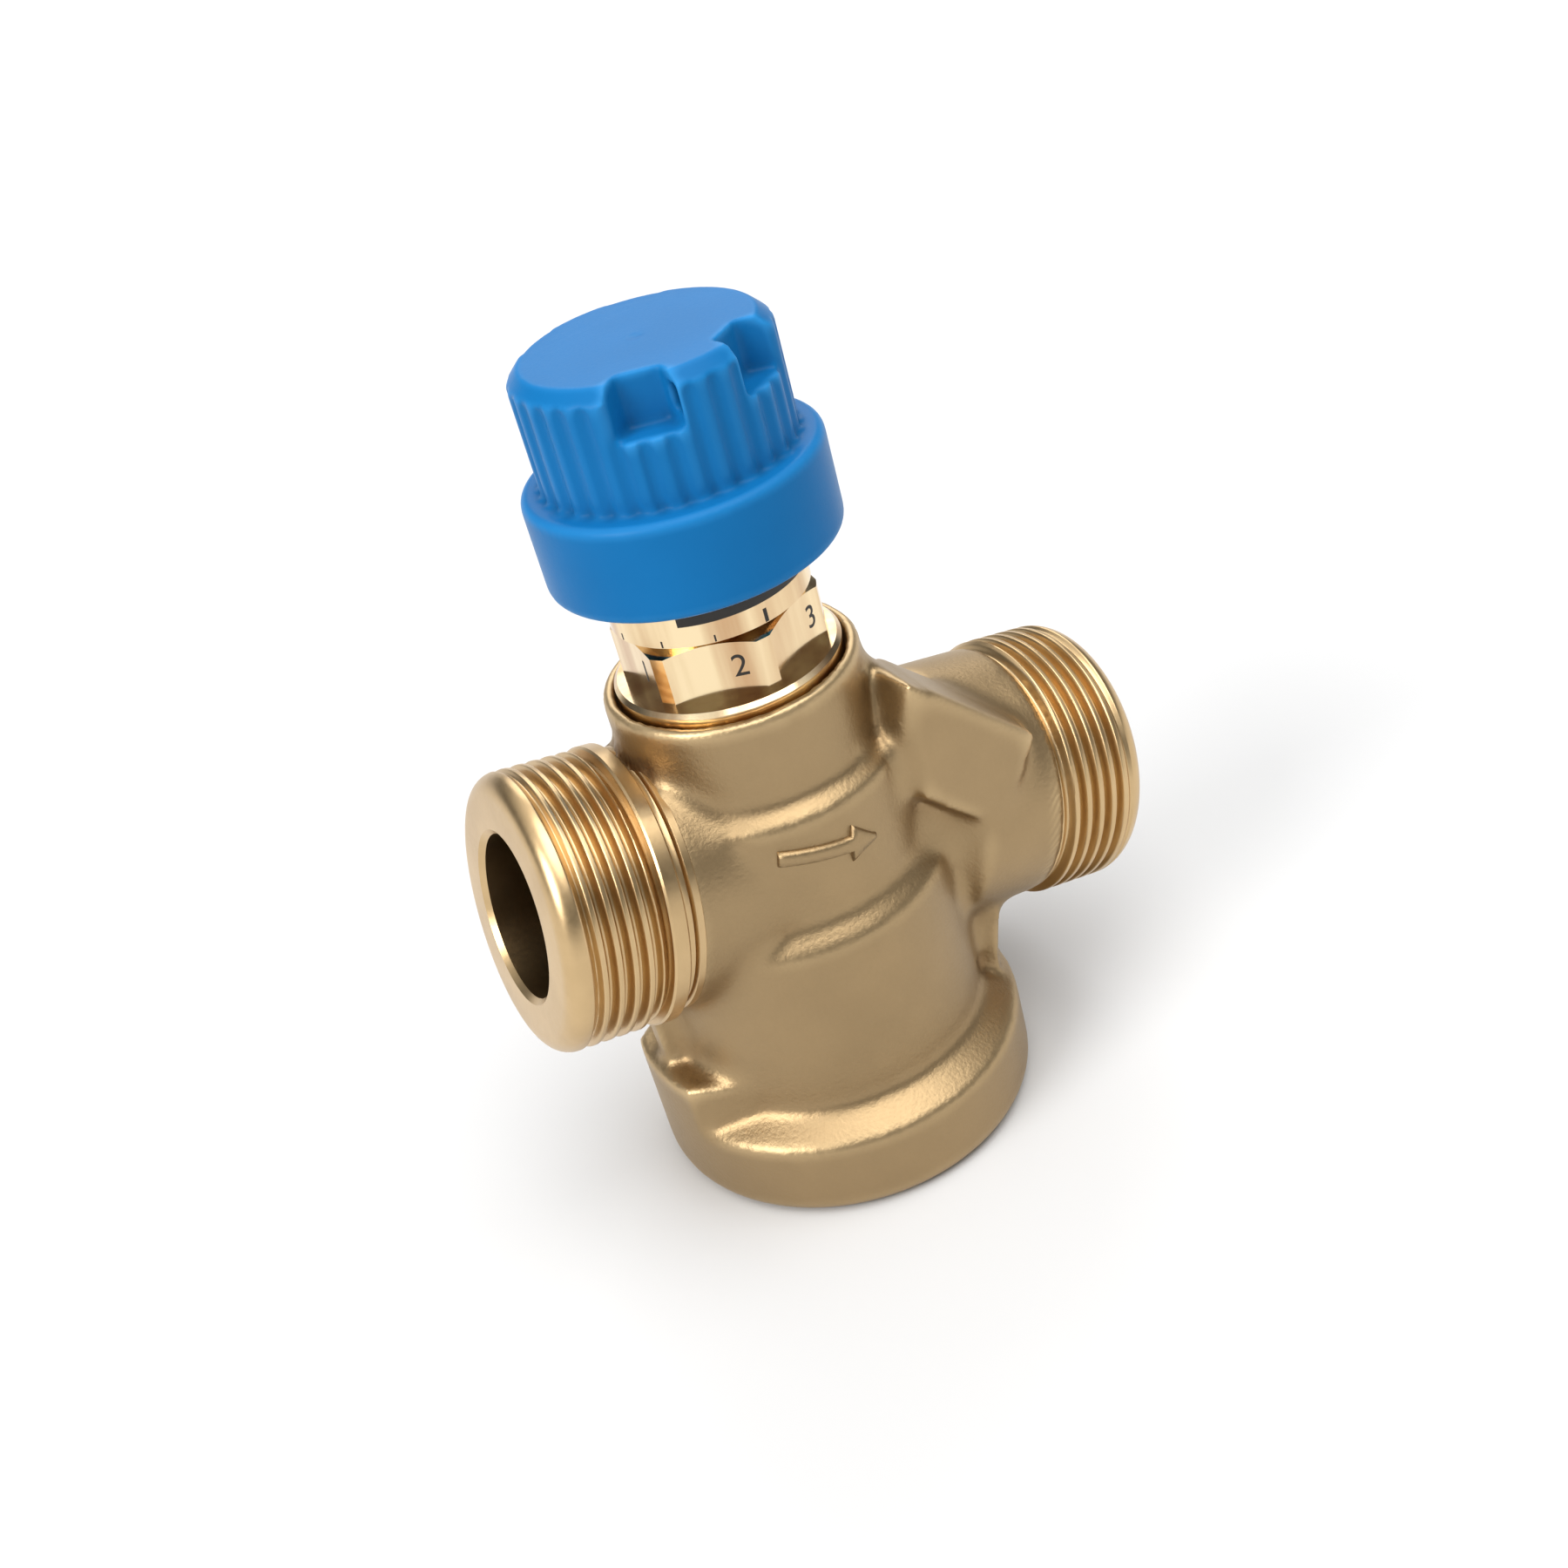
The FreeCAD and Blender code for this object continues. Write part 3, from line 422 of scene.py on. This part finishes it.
def pipe_end(name, reach, bore_depth, side):
    """A pipe end: its section runs out of the bore, over the face, along the thread and back in the core.

    The thread's radius is a flattened triangle wave that shifts one pitch a turn; the lead-in is a quarter
    round, and the wave grows in behind it and dies out where the thread ends. The bore is darkened most at
    its step, and less towards its mouth, with stain and painted shade.
    """
    depth = np.linspace(0.0, THREAD_LENGTH, THREAD_STEPS)[None, :]
    phase = (depth / THREAD_PITCH - side * FULL_TURN / (2.0 * np.pi)) % 1.0
    wave = np.clip((np.abs(2.0 * phase - 1.0) - ROOT_FLAT) / FLANK_SPAN, 0.0, 1.0)
    wave = 0.5 - 0.5 * np.cos(np.pi * wave)
    ready = np.clip((depth - THREAD_START) / THREAD_PITCH, 0.0, 1.0)
    spent = np.clip((THREAD_LENGTH - depth) / THREAD_RUN_OUT, 0.0, 1.0)
    crest = THREAD_ROOT + (THREAD_CREST - THREAD_ROOT) * spent
    groove = (crest - THREAD_ROOT) * (1.0 - wave) * ready
    drop = 1.0 - np.clip(depth / THREAD_ROUND, 0.0, 1.0)
    lead = THREAD_ROUND * (1.0 - np.sqrt(1.0 - drop ** 2))
    thread = np.minimum(crest - groove, THREAD_CREST - lead)
    before_depth = np.array([bore_depth, BORE_CHAMFER + BORE_EDGE, BORE_CHAMFER, 0.0])
    before_radius = np.array([BORE_RADIUS, BORE_RADIUS, BORE_RADIUS, BORE_RADIUS + BORE_CHAMFER])
    after_depth = np.array([THREAD_LENGTH, bore_depth])
    after_radius = np.array([THREAD_CORE, BORE_RADIUS + BORE_WALL])
    rows = np.ones_like(FULL_TURN)
    depth = np.concatenate([rows * before_depth, rows * depth, rows * after_depth], axis=1)
    radius = np.concatenate([rows * before_radius, thread, rows * after_radius], axis=1)
    points = along_pipe(side * (reach - depth), radius, FULL_TURN + 0.0 * depth)
    piece = grid_mesh(name, points if side < 0 else points[::-1], closed=True)
    piece.data.set_sharp_from_angle(angle=SHARP_EDGE)
    # Stain and painted shade: darkest at the bore's step, less at its mouth.
    stain = np.zeros(points.shape[:2], dtype=np.float32)
    stain[:, 0] = 1.0
    stain[:, 1] = BORE_MOUTH_STAIN_AND_SHADE
    piece.data.attributes.new("corner", "FLOAT", "POINT").data.foreach_set("value", stain.ravel())
    piece.data.materials.append(cut_brass)
    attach(piece, "housing")


cut_brass = finish("cut_brass", colour=(0.63, 0.45, 0.24), shade=(0.55, 0.385, 0.20),
                   roughness=0.31, patch=0.010, grain=0.0007, depth=0.00002)
shade_corners(cut_brass, BORE_STAIN_AND_SHADE, FORGED_WORN_AND_HIGHLIGHT)
pipe_end("inlet_pipe_thread", INLET_REACH, INLET_BORE_DEPTH, -1)
pipe_end("outlet_pipe_thread", OUTLET_REACH, OUTLET_BORE_DEPTH, 1)

# Inlet collar: a thin stop ring behind the thread and an undercut groove, cut in the forging.
# It is turned in the same chucking as the thread, so it has the same finish.
COLLAR_PROFILE = (
    (-0.0280, 0.0190), (-0.0280, 0.0209), (-0.0277, 0.0212), (-0.0257, 0.0212), (-0.0254, 0.0209),
    (-0.0254, 0.0194), (-0.0252, 0.0193), (-0.0242, 0.0193), (-0.0240, 0.0194), (-0.0239, 0.0198),
    (-0.0236, 0.02006), (-0.0226, 0.02006), (-0.0222, 0.0197), (-0.0222, 0.0180),
)


def inlet_collar():
    """The profile (distance, radius) carried once round the pipe axis."""
    distance, radius = np.array(COLLAR_PROFILE).T
    level = 0.0 * FULL_TURN
    points = along_pipe(distance + level, radius + level, FULL_TURN + 0.0 * radius)
    piece = grid_mesh("inlet_collar", points, closed=True)
    piece.data.set_sharp_from_angle(angle=SHARP_EDGE)
    return piece


collar = inlet_collar()
collar.data.materials.append(cut_brass)
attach(collar, "housing")

# Flow arrow: raised in the forging on the front of the waist, pointing to the outlet.
# It is part of the die, so it has the body's finish and soft sides.
ARROW_RADIUS = 0.022
ARROW_HEIGHT = 0.0597
ARROW_TURN = math.radians(-93.5)
ARROW_LENGTH = 0.0158
ARROW_HEAD = 0.0046
ARROW_TAIL = (0.0, 0.0003)
ARROW_SHAFT_START = 0.0012
ARROW_SHAFT_STEPS = 8
ARROW_SHAFT_HALF = 0.00115
ARROW_BARB = 0.0002
ARROW_HEAD_STEPS = 9
ARROW_HEAD_HALF = 0.0028
ARROW_TIP = 0.06
ARROW_RISE = 0.00085
ARROW_SIDE_RISE = 0.45 * ARROW_RISE
ARROW_ROOT = -0.0008
ARROW_END = 0.0002
ARROW_END_LIFT = 0.2
ARROW_SECTION = (
    (1.25, ARROW_ROOT), (1.0, ARROW_SIDE_RISE), (0.7, ARROW_RISE), (0.0, ARROW_RISE),
    (-0.7, ARROW_RISE), (-1.0, ARROW_SIDE_RISE), (-1.25, ARROW_ROOT),
)


def flow_arrow():
    """A raised bar with a pointed head, carried round the waist down the slope.

    Its section (share of the half width, rise) runs along a half width that is even on the shaft, steps out
    at the barbs and narrows to the tip.
    """
    neck = ARROW_LENGTH - ARROW_HEAD
    shaft = np.linspace(ARROW_SHAFT_START, neck, ARROW_SHAFT_STEPS)
    point = np.linspace(neck + ARROW_BARB, ARROW_LENGTH, ARROW_HEAD_STEPS)
    run = np.concatenate([ARROW_TAIL, shaft, point])
    head = ARROW_HEAD_HALF * np.clip((ARROW_LENGTH - run) / ARROW_HEAD, ARROW_TIP, 1.0)
    half = np.where(run <= neck, ARROW_SHAFT_HALF, head)
    share, rise = np.array(ARROW_SECTION).T
    across = half[:, None] * share
    ends = (run < ARROW_END) | (run > ARROW_LENGTH - ARROW_END)
    lift = np.where(ends, ARROW_END_LIFT, 1.0)[:, None]
    run = (run - ARROW_LENGTH / 2.0)[:, None]
    arc = run * np.cos(PIPE_SLOPE) + across * np.sin(PIPE_SLOPE)
    height = ARROW_HEIGHT - run * np.sin(PIPE_SLOPE) + across * np.cos(PIPE_SLOPE)
    turn = ARROW_TURN + arc / ARROW_RADIUS
    radius = ARROW_RADIUS + np.where(rise > 0.0, rise * lift, rise)
    points = np.stack([radius * np.cos(turn), radius * np.sin(turn), height], axis=-1)
    return grid_mesh("flow_arrow", points, closed=False)


arrow = flow_arrow()
arrow.data.materials.append(forged_brass)
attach(arrow, "housing")

# Bottom cover and the turned brass pieces inside: bar stock, turned and screwed in.
# The tool leaves fine rings about the stem.
TURNED_RINGS = (1.0, 1.0, 20.0)


def give(material, *names):
    """Assign a finish to CAD nodes."""
    for name in names:
        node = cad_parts[name]
        node.data.materials.clear()
        node.data.materials.append(material)


turned_brass = finish("turned_brass", colour=(0.60, 0.44, 0.23), shade=(0.50, 0.35, 0.17),
                      roughness=0.3, patch=0.02, grain=0.004, depth=0.00002, streak=TURNED_RINGS)
give(turned_brass, "bottom_cover", "control_cone", "gland_nut")


def yielding(node, name, material):
    """A piece in place of a node, with the node's own shape, smooth with its sharp edges kept; the node is
    hidden.
    """
    mesh = welded(node, name)
    mesh.shade_smooth()
    mesh.set_sharp_from_angle(angle=SHARP_EDGE)
    mesh.materials.append(material)
    piece = placed(name, mesh)
    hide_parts(node)
    return piece


rubber = finish("black_rubber", colour=(0.03, 0.03, 0.032), shade=(0.018, 0.018, 0.018),
                roughness=0.6, patch=0.004, grain=0.0005, depth=0.00003, metallic=0.0)
give(rubber, "cover_o_ring", "bonnet_o_ring", "gland_o_ring", "cone_gasket")
diaphragm_roll = yielding("diaphragm", "diaphragm_roll", rubber)
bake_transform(diaphragm_roll)

# Regulator and spindle pieces: turned and pressed stainless steel, screwed or clipped together.
# The tool leaves the same fine rings about the stem as on the turned brass.
steel = finish("turned_steel", colour=(0.60, 0.60, 0.59), shade=(0.48, 0.48, 0.48),
               roughness=0.28, patch=0.02, grain=0.004, depth=0.00002, streak=TURNED_RINGS)
give(steel, "diaphragm_clamp_ring", "diaphragm_plate", "regulator_plug", "spring_cup", "diaphragm_nut",
     "regulator_seat", "control_seat", "cone_nut", "spindle")

# Springs and spindle clip: drawn spring steel wire and strip, wound and stamped.
# They are a little darker than the turned steel. Each spring's coil is attached to the housing.
SPRINGS = (
    ("main_spring", "regulator_stroke", 0.0040, 0.0168),
    ("return_spring", "stem_stroke", 0.0800, 0.0950),
)
spring_steel = finish("spring_steel", colour=(0.48, 0.49, 0.5), shade=(0.36, 0.37, 0.38),
                      roughness=0.34, patch=0.003, grain=0.0005, depth=0.00002)
give(spring_steel, "spindle_clip")
for spring, joint, foot, head in SPRINGS:
    coil = yielding(spring, spring + "_coil", spring_steel)
    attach(coil, "housing")
    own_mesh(coil)

# Bonnet: brass bar turned with a hexagon, polished bright, screwed into the body's neck.
# Upright copper streaks along the stem are painted reflections; each flat carries a plain engraved number.
KEY_FLAT = 0.0135
KEY_MIDDLE = 0.0880
KEY_SIDES = 6
KEY_STEP = 60.0
KEY_FIRST = -180.0
NUMBER_TALL = 0.0048
NUMBER_ASIDE = 0.0036
NUMBER_HALF_DEPTH = 0.00012
NUMBER_SUNK = 0.00009


def engraved(name, words, turn):
    """Figures laid on a flat: their outline's x runs along the flat, y up the stem and depth outwards."""
    curve = bpy.data.curves.new(name, "FONT")
    curve.body = words
    curve.align_x = "CENTER"
    curve.align_y = "CENTER"
    curve.size = NUMBER_TALL
    curve.extrude = NUMBER_HALF_DEPTH
    mesh = settled(placed(name + "_outline", curve))
    across, up, out = points_of(mesh).T
    across = across + NUMBER_ASIDE
    reach = KEY_FLAT - NUMBER_SUNK + out
    points = np.stack([
        reach * np.cos(turn) - across * np.sin(turn),
        reach * np.sin(turn) + across * np.cos(turn),
        KEY_MIDDLE + up,
    ], axis=1)
    mesh.vertices.foreach_set("co", points.ravel())
    mesh.update()
    mesh.materials.append(scale_fill_and_shadow)
    piece = placed(name, mesh)
    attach(piece, "housing")


# Pale gold drifting to dark copper in upright streaks: painted reflections on the polished brass.
polished_brass = finish("polished_brass", colour=(0.90, 0.72, 0.45), shade=(0.52, 0.30, 0.15),
                        roughness=0.13, patch=0.007, grain=0.003, depth=0.00001, streak=(1.0, 1.0, 0.08))
# The dark fill also makes the painted shadow band under the cap.
scale_fill_and_shadow = finish("scale_fill_and_shadow", colour=(0.016, 0.011, 0.007), shade=(0.010, 0.007, 0.004),
                    roughness=0.45, patch=0.003, grain=0.0005, depth=0.00001, metallic=0.0)
give(polished_brass, "bonnet")
for side in range(KEY_SIDES):
    engraved(f"number_{side + 1}", str(side + 1), math.radians(KEY_STEP * side + KEY_FIRST))

# Setting ring: a split ring of polished brass on the bonnet's neck, under the cap.
# Its scale is cut and filled dark: one long index line and short steps. A broad dark band under the cap is
# painted shadow.
RING_RADIUS = 0.0146
CUT_DEPTH = 0.0003
CUT_PROUD = 0.00003
CUT_STEP = math.radians(3.0)
# The band is painted shadow of the cap's skirt, laid on the ring.
SHADOW_BAND_START = math.radians(-132.0)
SHADOW_BAND_END = math.radians(-36.0)
SHADOW_BAND_LOW = 0.0960
SHADOW_BAND_HIGH = 0.0988
LINE_COUNT = 10
LINE_FIRST = math.radians(-84.0)
LINE_STEP = math.radians(30.0)
LINE_LOW = 0.0930
INDEX_HALF = math.radians(1.1)
INDEX_TALL = 0.0020
STEP_HALF = math.radians(0.5)
STEP_TALL = 0.0010


def filled_cut(name, start, end, low, high):
    """A filled cut on the ring: a shallow slab from one turn to another, a hair proud of the surface."""
    turn = np.linspace(start, end, int((end - start) / CUT_STEP) + 2)[:, None]
    inner = RING_RADIUS - CUT_DEPTH
    outer = RING_RADIUS + CUT_PROUD
    radius = np.array([inner, inner, outer, outer])
    height = np.array([low, high, high, low])
    points = np.stack([radius * np.cos(turn), radius * np.sin(turn), height + 0.0 * turn], axis=-1)
    piece = grid_mesh(name, points, closed=False)
    piece.data.set_sharp_from_angle(angle=SHARP_EDGE)
    piece.data.materials.append(scale_fill_and_shadow)
    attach(piece, "scale")


# The ring carries the same painted reflections.
give(polished_brass, "setting_ring")
# Painted shadow of the cap: a dark band laid on the ring just under the skirt.
filled_cut("painted_shadow_band", SHADOW_BAND_START, SHADOW_BAND_END, SHADOW_BAND_LOW, SHADOW_BAND_HIGH)
for step in range(LINE_COUNT):
    turn = LINE_FIRST - LINE_STEP * step
    half = INDEX_HALF if step == 0 else STEP_HALF
    tall = INDEX_TALL if step == 0 else STEP_TALL
    filled_cut(f"scale_line_{step + 1}", turn - half, turn + half, LINE_LOW, LINE_LOW + tall)

# Hand cap: one moulding of blue plastic with a satin skin, screwed on the bonnet's thread.
# The mould leaves every edge and flute a little round. The thumb notches are beside the sealing eye,
# and the rim across from them is closed and plain.
CAP_CELL = 0.00039
CAP_ROUND = 4
CAP_TOP = 0.131499
CAP_SLEEVE = 0.0174
CAP_BORE = 0.0152
CAP_BORE_SKIN = 0.0143
CAP_BORE_TOP = 0.1147
CAP_BORE_LOW = 0.1018
CAP_SHINE = 0.08
# Tones for painted shade in the cap's hollows and a painted highlight on its edges.
CAP_PAINTED_SHADE = (0.006, 0.085, 0.23)
CAP_PAINTED_HIGHLIGHT = (0.028, 0.24, 0.56)
FAR_RIM_START = 44.0
FAR_RIM_END = 146.0
FAR_RIM_TURNS = 18
FAR_RIM_STEPS = ((0.0176, 0.1240), (0.0176, 0.1295), (0.0159, 0.13145))


def far_rim():
    """Corners of the closed rim: each step (radius, height) carried round the far side of the stem."""
    turn = np.radians(np.linspace(FAR_RIM_START, FAR_RIM_END, FAR_RIM_TURNS))[:, None]
    radius, height = np.array(FAR_RIM_STEPS).T
    corners = np.stack([radius * np.cos(turn), radius * np.sin(turn), height + 0.0 * turn], axis=-1)
    return corners.reshape(-1, 3).tolist()


def cap_held(points):
    """The threaded sleeve, inside its radius and below the top of its bore, keeps its size."""
    return (np.hypot(points[:, 0], points[:, 1]) < CAP_SLEEVE) & (points[:, 2] < CAP_BORE_TOP)


def cap_rounds(points):
    """The same small round on every edge and in every corner of the mould."""
    return np.full(len(points), CAP_ROUND)


def cap_finished(points):
    """Move the bore's skin out to the bore's radius, clear of the thread, and keep the top flat."""
    radius = np.hypot(points[:, 0], points[:, 1])
    bore = (radius > CAP_BORE_SKIN) & (radius < CAP_BORE)
    bore = bore & (points[:, 2] > CAP_BORE_LOW) & (points[:, 2] < CAP_BORE_TOP)
    scale = np.where(bore, CAP_BORE / radius, 1.0)
    points = points * np.stack([scale, scale, np.ones_like(scale)], axis=1)
    return np.minimum(points, (np.inf, np.inf, CAP_TOP))


cap_plastic = finish("blue_plastic", colour=(0.005, 0.140, 0.375), shade=(0.004, 0.128, 0.345),
                     roughness=0.36, patch=0.02, grain=0.0004, depth=0.00002, metallic=0.0)
cap_plastic.node_tree.nodes["Principled BSDF"].inputs["Specular IOR Level"].default_value = CAP_SHINE
# Painted shade darkens the cap's hollows and a painted highlight lightens its edges.
shade_corners(cap_plastic, CAP_PAINTED_SHADE, CAP_PAINTED_HIGHLIGHT)
cap_moulding = softened("hand_cap", "cap_moulding", CAP_CELL, cap_rounds, cap_rounds, cap_held,
                        cap_finished, far_rim())
cap_moulding.data.materials.append(cap_plastic)
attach(cap_moulding, "cap")
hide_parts("hand_cap")

# Studio: a pale floor that runs into a low pale wall, under broad lamps overhead, at the left and behind.
# The room above the wall is dim up to the soft ceiling. The camera looks from the front left and above.
FLOOR_HALF = 8.0
FLOOR_TONE = 0.62
FLOOR_ROUGHNESS = 0.9
LAMPS = (
    ("top_lamp", (0.10, -0.25, 0.95), 55.0, 2.0),
    ("left_lamp", (-0.80, -0.20, 0.55), 30.0, 1.9),
    ("back_lamp", (0.35, 0.75, 0.60), 40.0, 0.8),
)
WALL_FOOT = 0.97
WALL_TONES = ((0.10, 0.90), (0.24, 0.10), (0.45, 0.12))
CEILING_TONE = 1.3
CAMERA_LENS = 43.4
CAMERA_SENSOR = 36.0
CAMERA_CLIP = 0.01
CAMERA_RIGHT = (0.8451, -0.4831, -0.2291)
CAMERA_AHEAD = (0.3061, 0.7884, -0.5336)
CAMERA_PLACE = (-0.08409, -0.22447, 0.2104)
UPRIGHT = (0.0, 0.0, 1.0)


def grey(tone):
    """An even grey with full cover."""
    return (tone, tone, tone, 1.0)


def aim(stand, place, ahead, right):
    """Put a lamp or camera in its place, looking ahead, with right on its right-hand side.

    Up is right crossed with ahead, and the true right is ahead crossed with up.
    """
    ahead = ahead / np.linalg.norm(ahead)
    upward = np.cross(right, ahead)
    upward /= np.linalg.norm(upward)
    turn = np.eye(4)
    turn[:3, :3] = np.stack([np.cross(ahead, upward), upward, -ahead], axis=1)
    turn[:3, 3] = place
    stand.matrix_world = Matrix(turn)


def soft_sun(name, place, spread, strength):
    """A far broad lamp that shines from its place to the origin, as wide as its spread in degrees."""
    lamp = bpy.data.lights.new(name, "SUN")
    lamp.angle = math.radians(spread)
    lamp.energy = strength
    stand = placed(name, lamp)
    ahead = -np.array(place)
    aim(stand, place, ahead, np.cross(ahead, UPRIGHT))


floor_mesh = bpy.data.meshes.new("floor")
floor_mesh.from_pydata([(-FLOOR_HALF, -FLOOR_HALF, 0), (FLOOR_HALF, -FLOOR_HALF, 0),
                        (FLOOR_HALF, FLOOR_HALF, 0), (-FLOOR_HALF, FLOOR_HALF, 0)], [], [(0, 1, 2, 3)])
floor = placed("floor", floor_mesh)
floor_paint = bpy.data.materials.new("pale_floor")
floor_paint.use_nodes = True
floor_shader = floor_paint.node_tree.nodes["Principled BSDF"]
floor_shader.inputs["Base Color"].default_value = grey(FLOOR_TONE)
floor_shader.inputs["Roughness"].default_value = FLOOR_ROUGHNESS
floor_mesh.materials.append(floor_paint)
for lamp_name, lamp_place, lamp_spread, lamp_strength in LAMPS:
    soft_sun(lamp_name, lamp_place, lamp_spread, lamp_strength)

world = bpy.data.worlds.new("studio_air")
world.use_nodes = True
air = world.node_tree.nodes
air_link = world.node_tree.links.new
way = air.new("ShaderNodeTexCoord")
rise = air.new("ShaderNodeSeparateXYZ")
wall = air.new("ShaderNodeValToRGB")
for height, tone in WALL_TONES:
    wall.color_ramp.elements.new(height).color = grey(tone)
wall.color_ramp.elements[0].color = grey(WALL_FOOT)
wall.color_ramp.elements[-1].color = grey(CEILING_TONE)
air_link(way.outputs["Generated"], rise.inputs["Vector"])
air_link(rise.outputs["Z"], wall.inputs["Fac"])
air_link(wall.outputs["Color"], air["Background"].inputs["Color"])
bpy.context.scene.world = world
bpy.context.scene.view_settings.view_transform = "Standard"

camera_data = bpy.data.cameras.new("camera")
camera_data.lens = CAMERA_LENS
camera_data.sensor_width = CAMERA_SENSOR
camera_data.clip_start = CAMERA_CLIP
camera = placed("camera", camera_data)
aim(camera, CAMERA_PLACE, np.array(CAMERA_AHEAD), np.array(CAMERA_RIGHT))
bpy.context.scene.camera = camera
